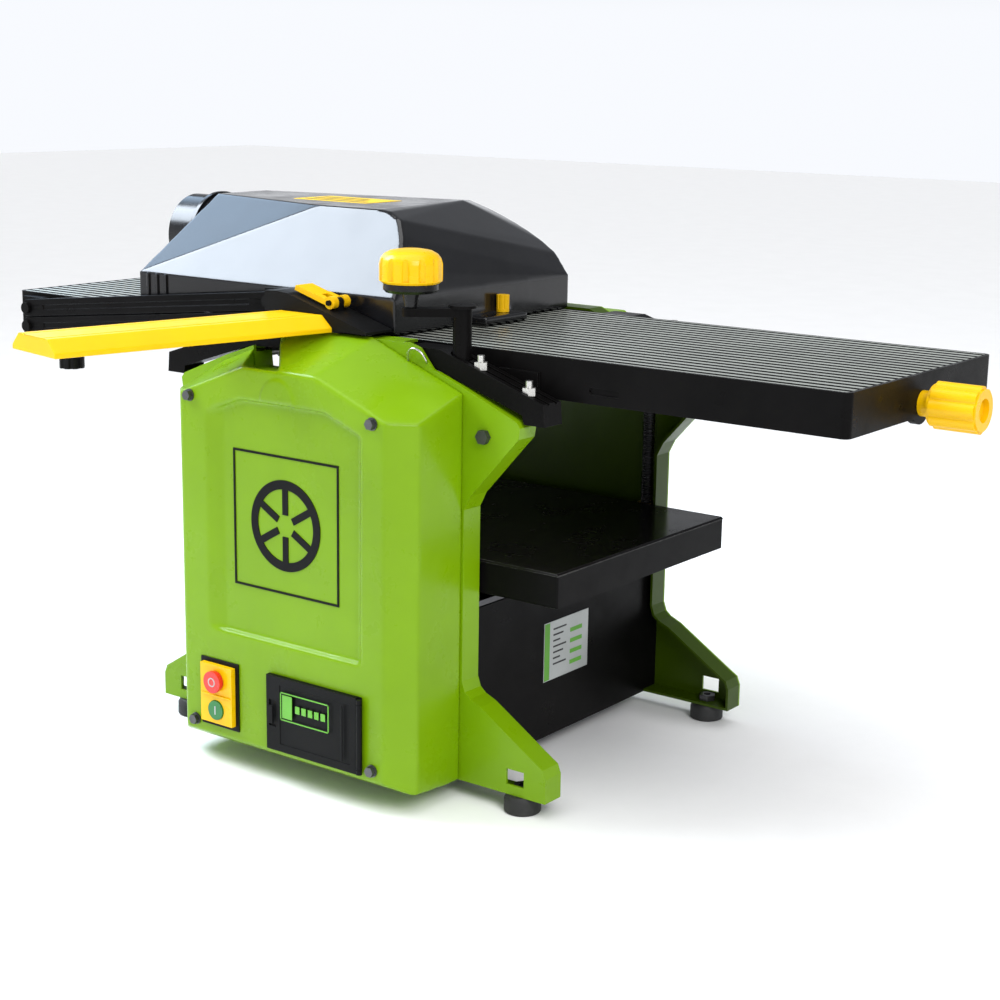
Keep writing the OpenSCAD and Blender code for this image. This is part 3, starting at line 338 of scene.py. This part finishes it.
# how far a CAD node's edges are rounded, in metres
for width, names in {
    0.0020: ("rear_cover",),
    0.0016: ("infeed_frame", "outfeed_frame"),
    0.0014: ("bed", "guard_head"),
    0.0012: ("right_ways", "left_ways", "switch_housing", "depth_knob", "crank_knob"),
    0.0011: ("near_panel", "rear_panel"),
    0.0010: ("guard_bar", "clamp_lever"),
    0.0009: ("storage_door",),
    0.0008: ("upper_link", "lower_link", "crank_arm", "arm_mount", "height_knob",
             "cross_panels", "stop_button", "start_button", "feet"),
    0.0006: ("bolts", "switch_plate", "dust_port"),
    0.0005: ("latch_knob", "foot_sleeves"),
    0.0004: ("infeed_top", "outfeed_top"),
    0.0002: ("emblem",),
}.items():
    for name in names:
        weld(nodes[name])
        bevel, normals = round_edges(nodes[name], width)
        bevel.miter_outer = "MITER_ARC"
        normals.weight = 80


# ---------------------------------------------------------------- rounded shells
def add_object(name, data):
    obj = bpy.data.objects.new(name, data)
    bpy.context.collection.objects.link(obj)
    return obj


def dress(obj, material, body):
    """Gives a new piece its material and the body it rides on."""
    obj.data.materials.clear()
    obj.data.materials.append(material)
    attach(obj, body)


def smooth_by(obj, rounds, group=""):
    smooth = obj.modifiers.new("smooth", "SMOOTH")
    smooth.factor = 0.5
    smooth.iterations = rounds
    smooth.vertex_group = group


def apply_modifiers(obj):
    graph = bpy.context.evaluated_depsgraph_get()
    made = bpy.data.meshes.new_from_object(obj.evaluated_get(graph))
    obj.modifiers.clear()
    obj.data = made


def moulding(node, name, voxel, rounds, material, body, softer=None):
    """A rounded copy of a CAD node: remeshed evenly, then smoothed.

    softer, as (lowest X, lowest Z, rounds), smooths the vertices above both again."""
    obj = add_object(name, nodes[node].data.copy())
    weld(obj)
    even = obj.modifiers.new("even", "REMESH")
    even.mode = "VOXEL"
    even.voxel_size = voxel
    smooth_by(obj, rounds)
    apply_modifiers(obj)
    if softer is not None:
        from_x, from_z, again = softer
        group = obj.vertex_groups.new(name="softer")
        for v in obj.data.vertices:
            share = min(1.0, (v.co.x - from_x) / 0.02, (v.co.z - from_z) / 0.01)
            if share > 0:
                group.add([v.index], share, "REPLACE")
        smooth_by(obj, again, "softer")
        apply_modifiers(obj)
        obj.vertex_groups.clear()
    for p in obj.data.polygons:
        p.use_smooth = True
    dress(obj, material, body)
    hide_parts(node)


moulding("belt_cover", "cover_shell", 0.0019, 7, green, "casing")
moulding("hood", "hood_shell", 0.0020, 10, glossy, "hood",
         softer=(0.045, 0.50, 90))


# ---------------------------------------------------------------- piece makers
def mm(node):
    """A node's lowest and highest corners, in row-frame millimetres."""
    low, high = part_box(node)
    return [c * 1000 for c in low], [c * 1000 for c in high]


def piece(name, shape, material, body, smooth=True):
    """Turns a bmesh in row-frame metres into a piece that rides on a body."""
    data = bpy.data.meshes.new(name)
    bmesh.ops.recalc_face_normals(shape, faces=shape.faces)
    shape.to_mesh(data)
    shape.free()
    for p in data.polygons:
        p.use_smooth = smooth
    obj = add_object(name, data)
    dress(obj, material, body)
    return obj


def blocks(name, boxes, material, body, rounding=None):
    """A piece made of boxes, each given as its spans along X, Y and Z, in millimetres."""
    shape = bmesh.new()
    for box in boxes:
        low, high = (Vector(corner) / 1000 for corner in zip(*box))
        for v in bmesh.ops.create_cube(shape, size=1)["verts"]:
            v.co = Vector(low[i] + (v.co[i] + 0.5) * (high[i] - low[i]) for i in range(3))
    obj = piece(name, shape, material, body, smooth=False)
    if rounding is not None:
        round_edges(obj, rounding)


def ring(shape, centre, axis, radius, height, count):
    """A circle of vertices round an axis, at a height along it, in millimetres."""
    turn = Vector(axis).normalized().to_track_quat("Z", "Y").to_matrix()
    made = []
    for i in range(count):
        a = 2 * math.pi * i / count
        point = turn @ Vector((radius * math.cos(a), radius * math.sin(a), height))
        made.append(shape.verts.new((point + Vector(centre)) / 1000))
    return made


def join_rings(shape, rings):
    """Closes a row of rings into a solid."""
    for a, b in zip(rings, rings[1:]):
        for i in range(len(a)):
            j = (i + 1) % len(a)
            shape.faces.new((a[i], a[j], b[j], b[i]))
    shape.faces.new(list(reversed(rings[0])))
    shape.faces.new(rings[-1])


# ---------------------------------------------------------------- hood details
low, high = mm("hood")
first_rib, rib_pitch, rib_width = low[0] + 14, 15, 4
blocks("hood_ribs", [
    ((x, x + rib_width), (low[1] - 2.5, low[1] + 3), (low[2] + 1, low[2] + 41))
    for x in (first_rib + i * rib_pitch for i in range(3))
], glossy, "hood", rounding=0.0012)

top = high[2]
blocks("hood_label", [((-214, -100), (-44, 22), (top - 0.6, top + 0.35))],
       label, "hood", rounding=0.0002)
blocks("hood_label_bars", [
    ((-206, -108 - i * 14), (-36 + i * 18, -30 + i * 18), (top, top + 0.5)) for i in range(3)
], label_dark, "hood")

# ---------------------------------------------------------------- plate on the cross panel
outer = mm("cross_panels")[1][0]
print_depth = (outer, outer + 0.7)
blocks("rating_plate", [((outer - 0.5, outer + 0.5), (-42, 47), (87, 157))],
       label_pale, "casing", rounding=0.0002)
blocks("rating_plate_green", [
    (print_depth, (-41, -31), (88, 156)),
    *((print_depth, (10, 34), (136 - i * 13, 141 - i * 13)) for i in range(4)),
], label_green, "casing")
blocks("rating_plate_lines", [
    (print_depth, (-24, 2 - (i % 3) * 6), (146 - i * 7, 148 - i * 7)) for i in range(7)
], label_dark, "casing")

# ---------------------------------------------------------------- storage door
low, high = mm("storage_door")
front = low[1]
field = front + 0.8
print_depth = (field - 0.5, field + 0.2)
line = 1.2
x0, x1, z0, z1 = low[0] + 23, low[0] + 93, low[2] + 38, low[2] + 70
blocks("door_label", [(x, print_depth, z) for x, z in (
    ((x0, x1), (z0, z0 + line)),
    ((x0, x1), (z1 - line, z1)),
    ((x0, x0 + line), (z0, z1)),
    ((x1 - line, x1), (z0, z1)),
    ((x0 + 3, x0 + 17), (z0 + 3, z1 - 3)),
    *(((x0 + 22 + i * 9.2, x0 + 28 + i * 9.2), (z0 + 12, z1 - 12)) for i in range(5)),
)], label_green, "storage_door")
blocks("door_grip", [
    ((high[0] - 27, high[0] - 24), (front - 0.2, front + 1), (low[2] + 12, high[2] - 12)),
    ((low[0] + 5, low[0] + 12), (front - 0.6, front + 1.6), (low[2] + 31, low[2] + 52)),
], moulded, "storage_door", rounding=0.0006)

# ---------------------------------------------------------------- switch marks
low, high = mm("switch_housing")
mid_x = (low[0] + high[0]) / 2
blocks("switch_divider", [((mid_x - 22, mid_x + 22), (low[1] - 2.2, low[1] + 2), (86, 88))],
       yellow, "casing", rounding=0.0008)
stop_at = (mid_x, mm("stop_button")[0][1], 104)
shape = bmesh.new()
join_rings(shape, [
    ring(shape, stop_at, (0, 1, 0), radius, depth, 32)
    for radius, depth in ((5.2, 0.5), (5.2, -0.35), (4.0, -0.35), (4.0, 0.5))
])
piece("stop_mark", shape, label_pale, "stop_button")
start_face = mm("start_button")[0][1]
blocks("start_mark", [
    ((mid_x - 0.8, mid_x + 0.8), (start_face - 0.35, start_face + 0.5), (65, 75))
], label_pale, "start_button")

# ---------------------------------------------------------------- wire clip on the belt cover
curve = [
    Vector((112.5 - 12.5 * math.cos(a), -207.5 - 6 * math.sin(a), 472 + 15 * math.sin(a)))
    for a in (math.pi * i / 14 for i in range(15))
]
wire_radius = 1.2
shape = bmesh.new()
join_rings(shape, [
    ring(shape, point, after - before, wire_radius, 0, 10)
    for before, point, after in zip(curve[:1] + curve, curve, curve[1:] + curve[-1:])
])
piece("wire_clip", shape, steel, "casing")

# ---------------------------------------------------------------- camera
# Fitted to the straight edges in the photograph.
YAW, PITCH, ROLL = map(math.radians, (36.59, -12.93, 0.91))
CAMERA_AT = (1.34637, -1.72042, 0.77266)  # metres
SENSOR, LENS = 36, 67.48  # millimetres
level = math.cos(PITCH)
ahead = Vector((-math.sin(YAW) * level, math.cos(YAW) * level, math.sin(PITCH)))
side = ahead.cross(Vector((0, 0, 1))).normalized()
up = side.cross(ahead)
right = math.cos(ROLL) * side + math.sin(ROLL) * up
over = -math.sin(ROLL) * side + math.cos(ROLL) * up
camera = add_object("camera", bpy.data.cameras.new("camera"))
camera.matrix_world = Matrix((*zip(right, over, -ahead, CAMERA_AT), (0, 0, 0, 1)))
camera.data.sensor_width = SENSOR
camera.data.lens = LENS
bpy.context.scene.camera = camera


# ---------------------------------------------------------------- studio
def softbox(name, place, target, size, power, colour=(1, 1, 1)):
    data = bpy.data.lights.new(name, "AREA")
    data.shape = "RECTANGLE"
    data.size, data.size_y = size
    data.energy = power
    data.color = colour
    obj = add_object(name, data)
    obj.location = place
    obj.rotation_euler = (Vector(target) - Vector(place)).to_track_quat("-Z", "Y").to_euler()


softbox("key", (2.6, -1.6, 2.2), (0, 0, 0.3), (1.4, 1.4), 70)
softbox("card", (-1.35, -0.66, 1.65), (-0.2, -0.13, 0.57), (1.15, 1.0), 58, (0.80, 0.89, 1.0))
softbox("side_card", (-1.6, 0.40, 1.30), (-0.25, -0.1, 0.57), (0.7, 0.8), 5, (0.55, 0.75, 1.0))
softbox("fill", (-0.9, -3.0, 1.1), (0, 0, 0.3), (2.0, 1.6), 9)
sun = bpy.data.lights.new("ceiling", "SUN")
sun.energy = 2.3
sun.angle = 1.2
add_object("ceiling", sun).rotation_euler = (0.12, 0.10, 0)

# the studio walls: white at the horizon, darker higher up
world = bpy.data.worlds.new("studio")
world.use_nodes = True
tree = world.node_tree
wall = ramp(tree, along(tree, "Z", "Generated"), (0.94, 0.96, 1.0), (0.26, 0.27, 0.29), 0.03, 0.30)
tree.links.new(wall, tree.nodes["Background"].inputs["Color"])
bpy.context.scene.world = world
bpy.context.scene.view_settings.view_transform = "Standard"

grid = bmesh.new()
bmesh.ops.create_grid(grid, x_segments=8, y_segments=8, size=12)
floor_data = bpy.data.meshes.new("floor")
grid.to_mesh(floor_data)
grid.free()
floor_data.materials.append(floor_white)
floor = add_object("floor", floor_data)
